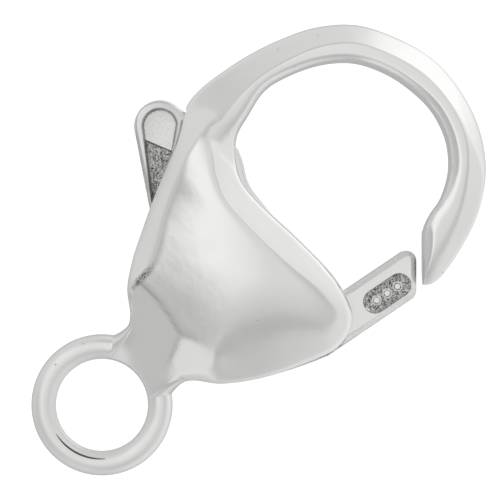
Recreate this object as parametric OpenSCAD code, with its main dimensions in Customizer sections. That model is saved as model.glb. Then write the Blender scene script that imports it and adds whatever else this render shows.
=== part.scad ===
// Lobster clasp, closed and lying on its side.
// X runs from the ring eye to the hook, Y to the thumb tab's side, Z up out of the side face.
// The origin is the middle of the ring eye, halfway through the clasp's depth.

/* [Ring eye] */
// Radius of the eye's hole
eye_hole_r = 1.33; // [1.2:0.01:1.45]
// Thickness of the eye's round wire
eye_wire_d = 0.74; // [0.64:0.01:0.86]
// Height of the straight wall inside the hole
eye_land = 0.24; // [0.16:0.02:0.36]

/* [Body] */
// From the eye's centre to the jaw face
body_len = 7.42; // [7.1:0.01:7.8]
// From the middle to the shoulder on the tab's side
body_half_w = 4.4; // [4.2:0.01:4.7]
// Depth of the domed body, from side face to side face
body_depth = 4.2; // [3.9:0.05:4.6]
// How full the dome is: higher is flatter on top and steeper at the rim
dome_fullness = 2.2; // [1.9:0.05:2.6]

/* [Hook] */
// Inside radius of the hook
hook_in_r = 2.9; // [2.8:0.01:3]
// From the jaw face to the middle of the hook
hook_reach = 2.58; // [2.45:0.01:2.75]
// Breadth of the hook's bar, seen from the side face
hook_w = 1.05; // [0.95:0.01:1.2]
// Depth of the hook's bar
hook_depth = 1.9; // [1.6:0.05:2.2]

/* [Lever] */
// Thickness of the lever
lever_t = 1.3; // [1.1:0.05:1.4]
// Play between the lever and each cheek of the body
side_play = 0.1; // [0.06:0.01:0.15]
// Play between the closed lever and the end of the slot
end_play = 0.14; // [0.08:0.01:0.2]
// How far the lever's edge stands proud of the body's lower edge
heel_proud = 0.06; // [0:0.01:0.1]
// How far the lever's rough edge stands proud of the jaw beside the hook
jaw_proud = 0.18; // [0.05:0.01:0.22]
// Radius of the boss around the pivot
hub_r = 1.5; // [1.3:0.01:1.6]

/* [Gate] */
// Breadth of the gate
gate_w = 1.29; // [1.15:0.01:1.4]
// Length of the gate from its end to its root in the slot
gate_len = 2.9; // [2.8:0.05:3]
// Lean of the gate away from the middle line, in degrees
gate_lean = 11; // [9:0.5:13]
// Gap between the gate's end and the hook's end
gate_gap = 0.24; // [0.15:0.01:0.3]
// Bevel around the gate's faces
gate_bevel = 0.17; // [0.08:0.01:0.22]
// Length of the sunk oval on the gate
mark_len = 1.5; // [1.2:0.05:1.6]
// Breadth of the sunk oval
mark_w = 0.66; // [0.5:0.01:0.8]
// Depth of the sunk oval
mark_depth = 0.08; // [0.04:0.01:0.15]

/* [Thumb tab] */
// Radius of the tab's round crown
tab_r = 0.75; // [0.65:0.01:0.85]
// How far the crown's centre stands out from the body's back edge
tab_rise = 0.63; // [0.5:0.01:0.8]
// Breadth of the rim around the tab's pocket
tab_rim = 0.25; // [0.15:0.01:0.3]
// Depth of the pocket's floor under the crown
pocket_shallow = 0.22; // [0.1:0.01:0.3]
// Depth of the pocket's floor beside the body
pocket_deep = 0.4; // [0.31:0.01:0.5]

/* [Pivot pin] */
// Radius of the pin
pin_r = 0.4; // [0.3:0.01:0.5]
// From the jaw face back to the pin
pivot_back = 1.82; // [1.72:0.01:1.92]
// Radial clearance of the lever on the pin
pin_running_gap = 0.03; // [0.02:0.005:0.06]
// Radial gap between the pin and the body's drilled hole
pin_seat_gap = 0.01; // [0.005:0.005:0.03]
// How far the pin runs into the upper cheek
pin_hold = 0.75; // [0.5:0.05:0.9]
// Gap over the pin's upper end, in its blind hole
pin_end_gap = 0.02; // [0.01:0.01:0.05]
// How far the pin's lower end lies under the dome's crown
pin_sink = 0.12; // [0.08:0.01:0.2]

/* [Return spring] */
// Thickness of the spring's strip
spring_t = 0.16; // [0.12:0.01:0.2]
// Breadth of the spring's strip
spring_w = 1; // [0.7:0.05:1.2]
// Height of the spring's straight legs
spring_leg = 2.3; // [1.9:0.05:2.5]
// Radius of the spring's bend, outside
spring_bend_r = 0.34; // [0.28:0.01:0.38]
// Lean of the leg that pushes the lever, in degrees
spring_lean = 10; // [7:0.5:11]
// Gap left between the spring and what it bears on
spring_gap = 0.04; // [0.02:0.01:0.06]
// Room for the spring between the slot's floor and the lever's boss
spring_room = 1; // [0.95:0.01:1.1]

/* [Hidden] */
$fn = 64;

pivot = [body_len - pivot_back, 0];
slot_w = lever_t + 2 * side_play;
hook_centre = [body_len + hook_reach, 0];
rings_per_row = 2;
side_points = 14;
nudge = 0.02;

// Sections of the body from the eye to the hook's root. Each runs from the back edge, on the
// tab's side, to the front edge. Places are shares of body_len and body_half_w, the depth is a
// share of body_depth, the rim is the edge's share of that depth, and the crest is where the
// highest point lies, from -1 at the front edge to 1 at the back edge.
body_table = [
    // back_x, back_y, front_x, front_y, depth, rim, crest
    [0.203, 0.261, 0.203, -0.275, 0.22, 0.50, 0],
    [0.283, 0.243, 0.279, -0.268, 0.32, 0.52, 0],
    [0.338, 0.302, 0.330, -0.325, 0.46, 0.60, 0],
    [0.398, 0.425, 0.398, -0.465, 0.64, 0.72, 0],
    [0.495, 0.536, 0.532, -0.628, 0.82, 0.64, 0],
    [0.600, 0.624, 0.690, -0.755, 0.93, 0.58, 0],
    [0.701, 0.704, 0.820, -0.822, 0.97, 0.56, 0],
    [0.782, 0.763, 0.934, -0.748, 0.995, 0.55, 0],
    [0.856, 0.818, 0.992, -0.500, 1.00, 0.55, 0],
    [0.930, 0.879, 1.000, -0.159, 0.975, 0.56, 0],
    [1.004, 0.951, 0.993, 0.170, 0.86, 0.59, -0.05],
    [1.078, 1.000, 1.008, 0.400, 0.71, 0.60, -0.05],
    [1.160, 1.006, 1.100, 0.610, 0.60, 0.55, -0.1],
];

// Sections of the hook from its root to its end, about hook_centre. The angles are those of the
// outer and the inner edge, the inner radius is a share of hook_in_r, the bar's breadth is a
// share of hook_w, and the depth is a share of hook_depth.
hook_table = [
    // out_deg, in_deg, in_r, bar, depth, rim, crest
    [100.5, 109.0, 1.080, 1.23, 1.14, 0.48, -0.1],
    [89.0, 93.0, 1.078, 1.00, 1.04, 0.44, -0.1],
    [75.0, 76.0, 1.024, 0.98, 1.00, 0.42, -0.1],
    [58.0, 58.0, 1.000, 1.00, 1.00, 0.42, -0.1],
    [40.0, 40.0, 0.992, 1.00, 1.00, 0.42, -0.1],
    [21.0, 21.0, 0.970, 0.97, 1.00, 0.42, -0.1],
    [3.0, 3.0, 0.970, 1.01, 1.00, 0.42, -0.1],
    [-15.0, -15.0, 1.003, 0.93, 0.99, 0.42, 0],
    [-33.0, -33.0, 1.030, 0.93, 0.98, 0.42, 0.1],
    [-50.0, -50.0, 1.040, 0.98, 0.96, 0.42, 0.25],
    [-67.0, -66.0, 1.026, 1.07, 0.94, 0.44, 0.2],
    [-82.0, -76.0, 1.002, 1.20, 0.92, 0.46, 0.1],
    [-94.0, -83.0, 1.016, 1.30, 0.88, 0.48, 0],
    [-99.6, -85.6, 1.034, 1.28, 0.84, 0.50, 0],
    [-102.8, -86.4, 1.041, 1.17, 0.80, 0.50, 0],
];

function polar(centre, radius, deg) = centre + radius * [cos(deg), sin(deg)];

function unit(v) = v / norm(v);

// A section holds its back point, its front point, half its depth, its rim's half and its crest.
function body_section(row) = let (
        back_x = row[0], back_y = row[1], front_x = row[2], front_y = row[3],
        depth = row[4], rim = row[5], crest = row[6],
        half = body_depth / 2 * depth)
    [back_x * body_len, back_y * body_half_w, front_x * body_len, front_y * body_half_w,
     half, half * rim, crest];

function hook_section(row) = let (
        out_deg = row[0], in_deg = row[1], in_r = row[2], bar = row[3],
        depth = row[4], rim = row[5], crest = row[6],
        inner_r = hook_in_r * in_r,
        back = polar(hook_centre, inner_r + hook_w * bar, out_deg),
        front = polar(hook_centre, inner_r, in_deg),
        half = hook_depth / 2 * depth)
    [back.x, back.y, front.x, front.y, half, half * rim, crest];

sections = concat(
    [for (row = body_table) body_section(row)],
    [for (row = hook_table) hook_section(row)]
);
root_section = len(body_table) - 1;
last_section = len(sections) - 1;

// A smooth curve through the sections; place 2.5 is halfway from section 2 to section 3.
function section_at(place) = let (
        i = min(floor(place), last_section - 1),
        f = place - i,
        a = sections[max(i - 1, 0)],
        b = sections[i],
        c = sections[i + 1],
        d = sections[min(i + 2, last_section)])
    (2 * b + (c - a) * f + (2 * a - 5 * b + 4 * c - d) * f * f
        + (3 * b - a - 3 * c + d) * f * f * f) / 2;

function back_at(place) = let (s = section_at(place)) [s[0], s[1]];
function front_at(place) = let (s = section_at(place)) [s[2], s[3]];
function front_proud(place, proud) =
    front_at(place) + proud * unit(front_at(place) - back_at(place));

// Rise of the dome over its rim, from 0 at an edge to 1 at the crest.
function rise(u, crest) = let (v = (u - crest) / (u > crest ? 1 - crest : 1 + crest))
    pow(max(0, 1 - pow(abs(v), dome_fullness)), 0.6);

// One closed ring of points: over the top from back to front, and back underneath.
function ring_points(s) = let (
        back = [s[0], s[1]],
        front = [s[2], s[3]],
        top = [for (k = [0 : side_points]) let (u = cos(180 * k / side_points))
            [each (front + (back - front) * (u + 1) / 2), s[5] + (s[4] - s[5]) * rise(u, s[6])]])
    concat(top, [for (k = [side_points : -1 : 0]) [top[k].x, top[k].y, -top[k].z]]);

module lofted_form() {
    rings = [for (k = [0 : rings_per_row * last_section]) ring_points(section_at(k / rings_per_row))];
    n = len(rings[0]);
    m = len(rings);
    sides = [for (i = [0 : m - 2]) for (j = [0 : n - 1])
        let (a = i * n + j, b = i * n + (j + 1) % n, c = a + n, d = b + n)
        each [[a, c, b], [b, c, d]]];
    first_cap = [for (j = [0 : n - 1]) j];
    last_cap = [for (j = [n - 1 : -1 : 0]) (m - 1) * n + j];
    polyhedron(points = [for (ring = rings) each ring], faces = concat(sides, [first_cap, last_cap]));
}

// The thumb tab's crown stands beside the back edge, and its edge enters the slot at its foot.
tab_place = 9;
foot_place = 5.7;
tab_centre = back_at(tab_place) + [0, tab_rise];
tab_foot = back_at(foot_place);

// The slot that parts the cheeks: from its floor at the neck to its end at the hook's root.
slot_floor_x = pivot.x - hub_r - spring_room;
slot_end_x = tab_centre.x + tab_r + end_play;
slot_jaw_end = front_at(root_section);
slot_past = body_half_w + tab_rise + 2 * tab_r;
slot_outline = [
    [slot_floor_x, -slot_past],
    [slot_jaw_end.x, -slot_past],
    slot_jaw_end,
    [slot_end_x, tab_centre.y - tab_rise],
    [slot_end_x, slot_past],
    [slot_floor_x, slot_past],
];

module ring_eye() {
    wire_r = eye_wire_d / 2;
    wire_centre = eye_hole_r + sqrt(wire_r * wire_r - eye_land * eye_land / 4);
    rotate_extrude() translate([wire_centre, 0]) circle(r = wire_r);
}

module upright_pin(r, low, high) {
    translate([pivot.x, pivot.y, low]) cylinder(r = r, h = high - low);
}

pin_top = slot_w / 2 + pin_hold;
pin_low = -body_depth / 2 + pin_sink;

module clasp_body() {
    color("silver") difference() {
        union() {
            lofted_form();
            ring_eye();
        }
        cylinder(r = eye_hole_r, h = 2 * body_depth, center = true);
        linear_extrude(slot_w, center = true) polygon(slot_outline);
        upright_pin(pin_r + pin_seat_gap, -body_depth, pin_top + pin_end_gap);
    }
}

// The gate ends opposite the hook's end face, at this share of that face's length.
gate_meets = 0.71;
end_inner = front_at(last_section);
end_outer = back_at(last_section);
end_way = unit(end_outer - end_inner);
to_gate = [end_way.y, -end_way.x];
gate_end = end_inner + gate_meets * (end_outer - end_inner) + gate_gap * to_gate;

// The gate seen from the side face, in shares of gate_w, from the middle of its end.
gate_root = gate_len / gate_w;
gate_outline = gate_w * [
    [-gate_root, -0.5], [-0.42, -0.5], [-0.3, -0.44], [0.13, 0.2],
    [0.15, 0.3], [0.12, 0.4], [0.05, 0.47], [-0.05, 0.5], [-gate_root, 0.5],
];
// Its flat face lies inside that outline by the bevel.
bevel = gate_bevel / gate_w;
gate_face = gate_w * [
    [-gate_root, bevel - 0.5],
    [-0.36 - bevel, bevel - 0.5],
    [0.13 - 1.3 * bevel, 0.22 - 0.3 * bevel],
    [0.12 - bevel, 0.4 - bevel / 2],
    [-0.05 - bevel / 2, 0.5 - bevel],
    [-gate_root, 0.5 - bevel],
];

module at_gate() {
    translate([gate_end.x, gate_end.y, 0]) rotate(-gate_lean) children();
}

module gate() {
    at_gate() hull() {
        linear_extrude(lever_t - 2 * gate_bevel, center = true) polygon(gate_outline);
        linear_extrude(lever_t, center = true) polygon(gate_face);
    }
}

module oval(length, breadth) {
    run = (length - breadth) / 2;
    translate([-run, 0]) circle(d = breadth);
    translate([run, 0]) circle(d = breadth);
    square([2 * run, breadth], center = true);
}

module sunk_oval() {
    at_gate() translate([-0.85 * gate_w, 0.02 * gate_w, lever_t / 2])
        linear_extrude(2 * mark_depth, center = true) oval(mark_len, mark_w);
}

// Points along the body's front edge, standing proud of it by an amount that may grow.
edge_steps = 8;
function edge_run(first, last, proud_first, proud_last) = [
    for (k = [0 : edge_steps]) let (f = k / edge_steps)
        front_proud(first + (last - first) * f, proud_first + (proud_last - proud_first) * f)
];

// The heel fills the slot along the body's lower edge, between these sections.
heel_first = 4.05;
heel_last = 6.9;
// The lip fills it along the jaw, up to the hook's root.
lip_first = 9.6;
lip_last = 11.75;

module heel_2d() {
    polygon([
        pivot + [-0.3, -0.9] * hub_r,
        each edge_run(heel_first, heel_last, heel_proud, heel_proud),
        front_proud(heel_last, -gate_w / 3),
        pivot + [0.9, -0.4] * hub_r,
    ]);
}

module lip_2d() {
    polygon([
        pivot,
        pivot + [1.12, -0.2] * hub_r,
        each edge_run(lip_first, lip_last, 0, jaw_proud),
        [slot_end_x - end_play, tab_centre.y],
        tab_centre,
    ]);
}

module tab_2d() {
    translate(tab_centre) circle(r = tab_r);
    polygon([
        pivot + [-0.97, 0.2] * hub_r,
        tab_foot,
        tab_centre + [-0.86, 0.5] * tab_r,
        tab_centre,
        pivot,
    ]);
}

// The pocket tapers from the crown to the foot, and is deeper from its ledge down.
pocket_r = tab_r - tab_rim;
pocket_left = tab_centre + [-0.86, 0.5] * pocket_r;
pocket_right = tab_centre + [0.8, -0.6] * pocket_r;
pocket_tip = tab_foot + tab_rim * [0.8, 0.4];
pocket_under = tab_foot + tab_rim * [1.6, -0.6];
ledge_share = 0.3;

module pocket_2d() {
    translate(tab_centre) circle(r = pocket_r);
    polygon([pocket_left, pocket_tip, pocket_under, pocket_right]);
}

module deep_pocket_2d() {
    polygon([
        pocket_left + ledge_share * (pocket_tip - pocket_left),
        pocket_tip,
        pocket_under,
        pocket_right + ledge_share * (pocket_under - pocket_right),
    ]);
}

// Cuts an outline into both faces of the lever.
module into_both_faces(depth) {
    for (side = [-1, 1])
        translate([0, 0, side * lever_t / 2]) linear_extrude(2 * depth, center = true) children();
}

module lever() {
    color("gainsboro") difference() {
        union() {
            linear_extrude(lever_t, center = true) {
                translate(pivot) circle(r = hub_r);
                heel_2d();
                lip_2d();
                tab_2d();
            }
            gate();
        }
        upright_pin(pin_r + pin_running_gap, -lever_t, lever_t);
        into_both_faces(pocket_shallow) pocket_2d();
        into_both_faces(pocket_deep) deep_pocket_2d();
        sunk_oval();
    }
}

module pivot_pin() {
    color("lightgray") upright_pin(pin_r, pin_low, pin_top);
}

// A V of strip: one leg on the slot's floor, a bend below, and one leg against the lever.
spring_x = slot_floor_x + spring_gap;
spring_low_y = -1;

module return_spring() {
    color("slategray") translate([spring_x, spring_low_y, 0])
        linear_extrude(spring_w, center = true) {
            square([spring_t, spring_leg]);
            translate([spring_bend_r, 0]) difference() {
                circle(r = spring_bend_r);
                circle(r = spring_bend_r - spring_t);
                translate([-spring_bend_r, 0]) square(2 * spring_bend_r);
            }
            translate([2 * spring_bend_r - spring_t, -nudge])
                rotate(-spring_lean) square([spring_t, spring_leg + nudge]);
        }
}

clasp_body();
lever();
pivot_pin();
return_spring();
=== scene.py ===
import math

import bmesh
import bpy
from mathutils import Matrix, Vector
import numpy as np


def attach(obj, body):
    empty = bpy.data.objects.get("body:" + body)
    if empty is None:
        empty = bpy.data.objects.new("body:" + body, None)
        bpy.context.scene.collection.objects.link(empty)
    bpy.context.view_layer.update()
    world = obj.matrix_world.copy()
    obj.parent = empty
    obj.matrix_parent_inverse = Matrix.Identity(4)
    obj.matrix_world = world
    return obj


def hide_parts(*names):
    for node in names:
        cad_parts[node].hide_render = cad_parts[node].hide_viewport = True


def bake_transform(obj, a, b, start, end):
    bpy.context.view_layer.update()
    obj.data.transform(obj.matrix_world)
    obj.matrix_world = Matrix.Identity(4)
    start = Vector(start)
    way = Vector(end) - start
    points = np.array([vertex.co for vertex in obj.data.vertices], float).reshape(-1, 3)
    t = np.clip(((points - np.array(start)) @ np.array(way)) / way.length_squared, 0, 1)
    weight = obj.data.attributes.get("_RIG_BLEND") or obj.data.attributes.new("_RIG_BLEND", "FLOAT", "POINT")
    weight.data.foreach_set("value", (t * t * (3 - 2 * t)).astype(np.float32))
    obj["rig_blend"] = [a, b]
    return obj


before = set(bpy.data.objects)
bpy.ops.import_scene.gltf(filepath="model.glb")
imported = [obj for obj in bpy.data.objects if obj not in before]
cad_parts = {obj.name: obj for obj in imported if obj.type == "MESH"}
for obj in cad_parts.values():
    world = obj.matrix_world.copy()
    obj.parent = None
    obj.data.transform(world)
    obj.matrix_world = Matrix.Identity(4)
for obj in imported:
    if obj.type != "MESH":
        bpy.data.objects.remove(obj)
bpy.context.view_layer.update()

# Lengths are in millimetres up to the point where a mesh is made.
MM = 0.001

# Ring eye
EYE_HOLE_R = 1.33
EYE_WIRE_R = 0.36
EYE_MIDDLE_R = EYE_HOLE_R + EYE_WIRE_R
EYE_SEGMENTS = 180
WIRE_SEGMENTS = 20
# Subdivision draws the wire in, so it starts this much thicker.
WIRE_SWELL = 1.012
# Points nearer than this are one, where the eye is halved and where its halves meet.
HALVED_WITHIN = 0.0001
MERGED_WITHIN = 0.001

# Body and hook, seen from the side face
BODY_LEN = 7.42
BODY_HALF_W = 4.4
HOOK_IN_R = 2.9
HOOK_REACH = 2.58
HOOK_W = 1.05
HALF_DEPTH = 2.1

# Slot and pivot
LEVER_T = 1.3
SIDE_PLAY = 0.1
SLOT_HALF = LEVER_T / 2 + SIDE_PLAY
SLOT_FLOOR_X = 3.1
SLOT_END_X = 7.79
SLOT_STEP_Y = 3.87
PIVOT_X = 5.6
PIN_R = 0.4
PIN_SEAT_GAP = 0.01
PIN_HOLE_TOP = 1.52
ROUND_SEGMENTS = 64

# Sections across the body, from the eye to the hook's root, as shares of BODY_LEN and
# BODY_HALF_W: the point on the back edge, on the tab's side, and the point on the front edge.
BODY_SECTIONS = [
    # back_x, back_y, front_x, front_y
    (0.203, 0.261, 0.203, -0.275),
    (0.283, 0.243, 0.279, -0.268),
    (0.338, 0.302, 0.330, -0.325),
    (0.398, 0.425, 0.398, -0.465),
    (0.495, 0.536, 0.532, -0.628),
    (0.600, 0.624, 0.690, -0.755),
    (0.701, 0.704, 0.820, -0.822),
    (0.782, 0.763, 0.934, -0.748),
    (0.856, 0.818, 0.992, -0.500),
    (0.930, 0.879, 1.000, -0.159),
    (1.004, 0.951, 0.993, 0.170),
    (1.078, 1.000, 1.008, 0.400),
    (1.160, 1.006, 1.100, 0.610),
]

# Sections across the hook, about its middle: the angles of the outer and the inner edge in
# degrees, the inner radius as a share of HOOK_IN_R and the bar as a share of HOOK_W.
HOOK_SECTIONS = [
    # out_deg, in_deg, in_r, bar
    (100.5, 109.0, 1.080, 1.23),
    (89.0, 93.0, 1.078, 1.00),
    (75.0, 76.0, 1.024, 0.98),
    (58.0, 58.0, 1.000, 1.00),
    (40.0, 40.0, 0.992, 1.00),
    (21.0, 21.0, 0.970, 0.97),
    (3.0, 3.0, 0.970, 1.004),
    (-15.0, -15.0, 1.003, 0.93),
    (-33.0, -33.0, 1.030, 0.93),
    (-50.0, -50.0, 1.040, 0.98),
    (-67.0, -66.0, 1.026, 1.07),
    (-82.0, -76.0, 1.002, 1.20),
    (-94.0, -83.0, 1.016, 1.297),
    (-99.6, -85.6, 1.034, 1.277),
    (-102.8, -86.4, 1.041, 1.17),
]

# How the side face is worked, by the section's number, in mm. The crest is the height of the
# top at crest_at, a share of the breadth from the back edge, and a bow is its curve per mm on
# that side. A rim is the height of an edge, and a rise is how steeply its band climbs from
# there, per mm. The turn is how softly the band and the top meet.
FACE_FORM = [
    # place, crest, crest_at, back_bow, front_bow, back_rim, back_rise, front_rim, front_rise, turn
    (0, 0.70, 0.50, 0.05, 0.05, 0.25, 2.00, 0.25, 2.00, 0.05),
    (1, 0.95, 0.50, 0.06, 0.06, 0.54, 2.00, 0.46, 1.80, 0.05),
    (2, 1.10, 0.50, 0.05, 0.10, 0.80, 1.80, 0.66, 1.40, 0.06),
    (3, 1.30, 0.50, 0.05, 0.13, 0.98, 1.20, 0.78, 0.60, 0.08),
    (4, 1.59, 0.50, 0.09, 0.17, 0.86, 0.95, 0.87, 0.58, 0.09),
    (5, 1.88, 0.50, 0.12, 0.15, 0.96, 1.05, 0.98, 0.60, 0.09),
    (6, 2.05, 0.50, 0.12, 0.17, 1.02, 1.20, 1.03, 0.60, 0.09),
    (7, 2.09, 0.49, 0.12, 0.15, 1.07, 1.25, 1.08, 0.75, 0.09),
    (8, 2.06, 0.47, 0.135, 0.12, 1.17, 1.20, 1.24, 0.78, 0.09),
    (9, 1.96, 0.45, 0.20, 0.12, 1.11, 1.15, 1.43, 0.78, 0.10),
    (10, 1.76, 0.46, 0.30, 0.13, 0.77, 0.95, 1.50, 0.78, 0.12),
    (11, 1.57, 0.51, 0.30, 0.16, 0.66, 0.74, 1.41, 0.78, 0.12),
    (12, 1.38, 0.59, 0.26, 0.20, 0.62, 0.66, 1.25, 0.73, 0.10),
    (13, 1.19, 0.69, 0.26, 0.25, 0.54, 0.70, 1.08, 0.65, 0.07),
    (14, 1.04, 0.75, 0.30, 0.30, 0.42, 0.82, 0.93, 0.58, 0.035),
    (15, 0.96, 0.78, 0.35, 0.35, 0.40, 0.82, 0.86, 0.56, 0.03),
    (16, 0.95, 0.75, 0.35, 0.35, 0.40, 0.88, 0.86, 0.56, 0.03),
    (17, 0.95, 0.70, 0.35, 0.35, 0.40, 1.00, 0.86, 0.56, 0.03),
    (19, 0.95, 0.70, 0.40, 0.40, 0.40, 0.95, 0.85, 0.56, 0.03),
    (20, 0.95, 0.66, 0.40, 0.40, 0.42, 1.05, 0.83, 0.58, 0.03),
    (21, 0.94, 0.64, 0.45, 0.30, 0.60, 0.72, 0.81, 0.58, 0.04),
    (22, 0.93, 0.72, 0.50, 0.30, 0.56, 0.60, 0.79, 0.58, 0.05),
    (23, 0.91, 0.76, 0.50, 0.30, 0.54, 0.58, 0.78, 0.58, 0.06),
    (24, 0.90, 0.78, 0.50, 0.30, 0.53, 0.58, 0.775, 0.58, 0.06),
    (25, 0.89, 0.78, 0.50, 0.30, 0.52, 0.58, 0.77, 0.58, 0.06),
    (26, 0.88, 0.78, 0.50, 0.30, 0.51, 0.58, 0.765, 0.58, 0.06),
    (27, 0.87, 0.78, 0.50, 0.30, 0.50, 0.58, 0.76, 0.58, 0.06),
]
# Which two numbers of a row are the back and the front edge's rim and rise, after its place.
RIM_COLUMNS = ((4, 5), (6, 7))
# An edge is rounded off by this height, over this distance.
EDGE_ROUND = (0.05, 0.035)

# The neck's plate slopes up from the eye's hole, and a flank slopes away from it to the front.
# Each is a plane: its height at (PLANE_X, 0), and its rise along X and Y per mm.
PLANE_X = 2
NECK_PLATE = (0.626, 0.66, -0.10)
NECK_FLANK = (0.782, 0.555, 0.152)
NECK_TURN = 0.05
NECK_LAST = 6.0
# The flank runs softly into the front band, which has this much more turn there. That fades
# over this many places, and is gone at NECK_LAST.
FLANK_TURN = 0.12
FLANK_FADE = 2.0
# A crevice gets painted shade, darkened towards the tarnish colour, where the two surfaces that meet are
# less than this apart in height.
CREVICE = 0.035
# Where a crevice's painted shade starts and how long it takes to show: under the dome, in mm from the front
# edge, and between plate and flank, in places from the eye. The second is the fainter one.
DOME_CREVICE = (0.9, 0.4)
FLANK_CREVICE = (0.9, 0.5)
FLANK_CREVICE_SHARE = 0.6

# A steeper facet along the hook's outer edge runs out at its side, in mm of rim and rise per mm.
OUTER_RIM = 0.40
OUTER_RISE = 1.2
OUTER_STARTS = 17
OUTER_LEAVES = 21
OUTER_LIFT = 0.107
OUTER_TURN = 0.015

# Up a wall from the middle plane to the rim, as shares of the rim's height.
WALL_LEVELS = (0.0, 0.22, 0.42, 0.6, 0.75, 0.87, 0.95, 0.99)
FACE_STEPS = 36
# How much the columns crowd towards the edges, from 0 to 1.
EDGE_CROWD = 0.4

# Rows across the body start here, and lie closer together up to the dome. The last row is at
# least LAST_GAP from the one before.
FIRST_PLACE = 0.45
CLOSE_TO_PLACE = 5
CLOSE_STEP = 0.11
ROW_STEP = 0.2
LAST_GAP = 0.01

# The first rows bow round the eye's wire, and straighten further up the neck.
EYE_BOW = 0.42
BOW_GONE = 3.5
# Their edges are nearly as round as the wire, from this wall level up, and sharpen up the neck.
SOFT_R = 0.3
SOFT_GONE = 2.2
SOFT_FROM_LEVEL = 2

# Rows over which the eye's own edge turns into the neck's sections.
JOIN_ROWS = 8
NECK_HALF_DEG = 36
JOIN_DEG = 144
# A point counts as off the middle plane from this height.
OFF_PLANE = 0.01

# The hook's end is rounded off in steps: how large it still is, and how far out it lies.
END_STEPS = [
    # size, out
    (0.985, 0.02),
    (0.93, 0.035),
    (0.75, 0.045),
    (0.4, 0.05),
]
# The end faces the way that the hook runs over its last tenth of a place.
END_LOOK_BACK = 0.1

# A fold left by casting runs along the eye's wire, on the side seen.
FOLD_ARC_DEG = (167.3, 229.4)
FOLD_R = 1.547
FOLD_HALF_W = 0.03
FOLD_STEPS = 22
FOLD_SIDES = 8
# How much deeper than broad it is, and how far in from a point it starts and ends, in steps.
FOLD_DEEPER = 2
FOLD_END = 0.6
# It gets painted shade where it lies this far under the wire's surface, near its own line.
FOLD_SUNK = 0.008
FOLD_REACH = 3 * FOLD_HALF_W
FOLD_SHADE = 2.0

# An outline's sharp corner is moved out no further than this allows.
MITRE_LIMIT = 0.4
# Faces that meet at a larger angle than this keep a sharp edge between them.
BODY_SHARP_DEG = 35
LEVER_SHARP_DEG = 32
PIN_SHARP_DEG = 35
SPRING_SHARP_DEG = 30


def empty_selection():
    if bpy.context.object and bpy.context.object.mode != "OBJECT":
        bpy.ops.object.mode_set(mode="OBJECT")
    bpy.ops.object.select_all(action="DESELECT")


def make_active(piece):
    empty_selection()
    piece.select_set(True)
    bpy.context.view_layer.objects.active = piece


def edit(piece, select="DESELECT"):
    """Opens a piece for editing, with all of it selected or none."""
    make_active(piece)
    bpy.ops.object.mode_set(mode="EDIT")
    bpy.ops.mesh.select_all(action=select)
    return bmesh.from_edit_mesh(piece.data)


def close_up():
    """Turns all faces outwards and leaves edit mode."""
    bpy.ops.mesh.select_all(action="SELECT")
    bpy.ops.mesh.normals_make_consistent(inside=False)
    bpy.ops.object.mode_set(mode="OBJECT")


def name_new(name):
    """Names the piece that was added last."""
    piece = bpy.context.object
    piece.name = name
    piece.data.name = name
    return piece


def smooth(piece, sharp_deg):
    make_active(piece)
    bpy.ops.object.shade_smooth_by_angle(angle=math.radians(sharp_deg))


def add_modifier(piece, kind, **settings):
    make_active(piece)
    bpy.ops.object.modifier_add(type=kind)
    modifier = piece.modifiers[-1]
    for key, value in settings.items():
        setattr(modifier, key, value)
    bpy.ops.object.modifier_apply(modifier=modifier.name)


def join_solids(piece, other, operation):
    add_modifier(piece, "BOOLEAN", operation=operation, solver="EXACT", object=other)
    bpy.data.objects.remove(other)


def cut_away(piece, cutter):
    join_solids(piece, cutter, "DIFFERENCE")


def stack(name, rings):
    """A closed piece through rings of points, in mm, made by extruding one ring's face to the next."""
    bpy.ops.mesh.primitive_circle_add(vertices=len(rings[0]), fill_type="NGON", radius=MM)
    piece = name_new(name)
    mesh = edit(piece, "SELECT")
    number = mesh.verts.layers.int.new("number")
    mesh.verts.ensure_lookup_table()
    for k, vert in enumerate(mesh.verts):
        vert[number] = k
    for k, ring in enumerate(rings):
        if k:
            bpy.ops.mesh.extrude_region_move()
            mesh = bmesh.from_edit_mesh(piece.data)
            number = mesh.verts.layers.int["number"]
        for vert in mesh.verts:
            if vert.select:
                vert.co = Vector(ring[vert[number]]) * MM
        bmesh.update_edit_mesh(piece.data)
    close_up()
    return piece


def grown(outline, amount):
    """An outline that runs anticlockwise, moved outwards by an amount."""
    spots = [Vector(spot) for spot in outline]
    out = []
    for before, spot, after in zip(spots[-1:] + spots, spots, spots[1:] + spots[:1]):
        into = (spot - before).normalized()
        onward = (after - spot).normalized()
        way = Vector((into.y + onward.y, -into.x - onward.x))
        out.append(spot + way * (amount / max(way.length_squared / 2, MITRE_LIMIT)))
    return out


def levels(outline, steps):
    """Rings over an outline: each step is a growth and a height."""
    return [[(*spot, height) for spot in grown(outline, amount)] for amount, height in steps]


def arc(middle, radius, first_deg, last_deg, steps):
    """Points round a circle, from one angle to another."""
    spots = []
    for k in range(steps + 1):
        way = math.radians(first_deg + (last_deg - first_deg) * k / steps)
        spots.append((middle[0] + radius * math.cos(way), middle[1] + radius * math.sin(way)))
    return spots


def pivot_cylinder(name, radius, low, high, segments=ROUND_SEGMENTS):
    """A cylinder on the pivot's axis, from one height to another."""
    bpy.ops.mesh.primitive_cylinder_add(
        vertices=segments, radius=radius * MM, depth=(high - low) * MM,
        location=(PIVOT_X * MM, 0, (high + low) / 2 * MM),
    )
    return name_new(name)


def clamped(value):
    return max(0.0, min(1.0, value))


def soft_min(a, b, turn):
    """The lower of two heights, rounded off where they are less than a turn apart."""
    near = max(turn - abs(a - b), 0) / turn
    return min(a, b) - near * near * turn / 4


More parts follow.
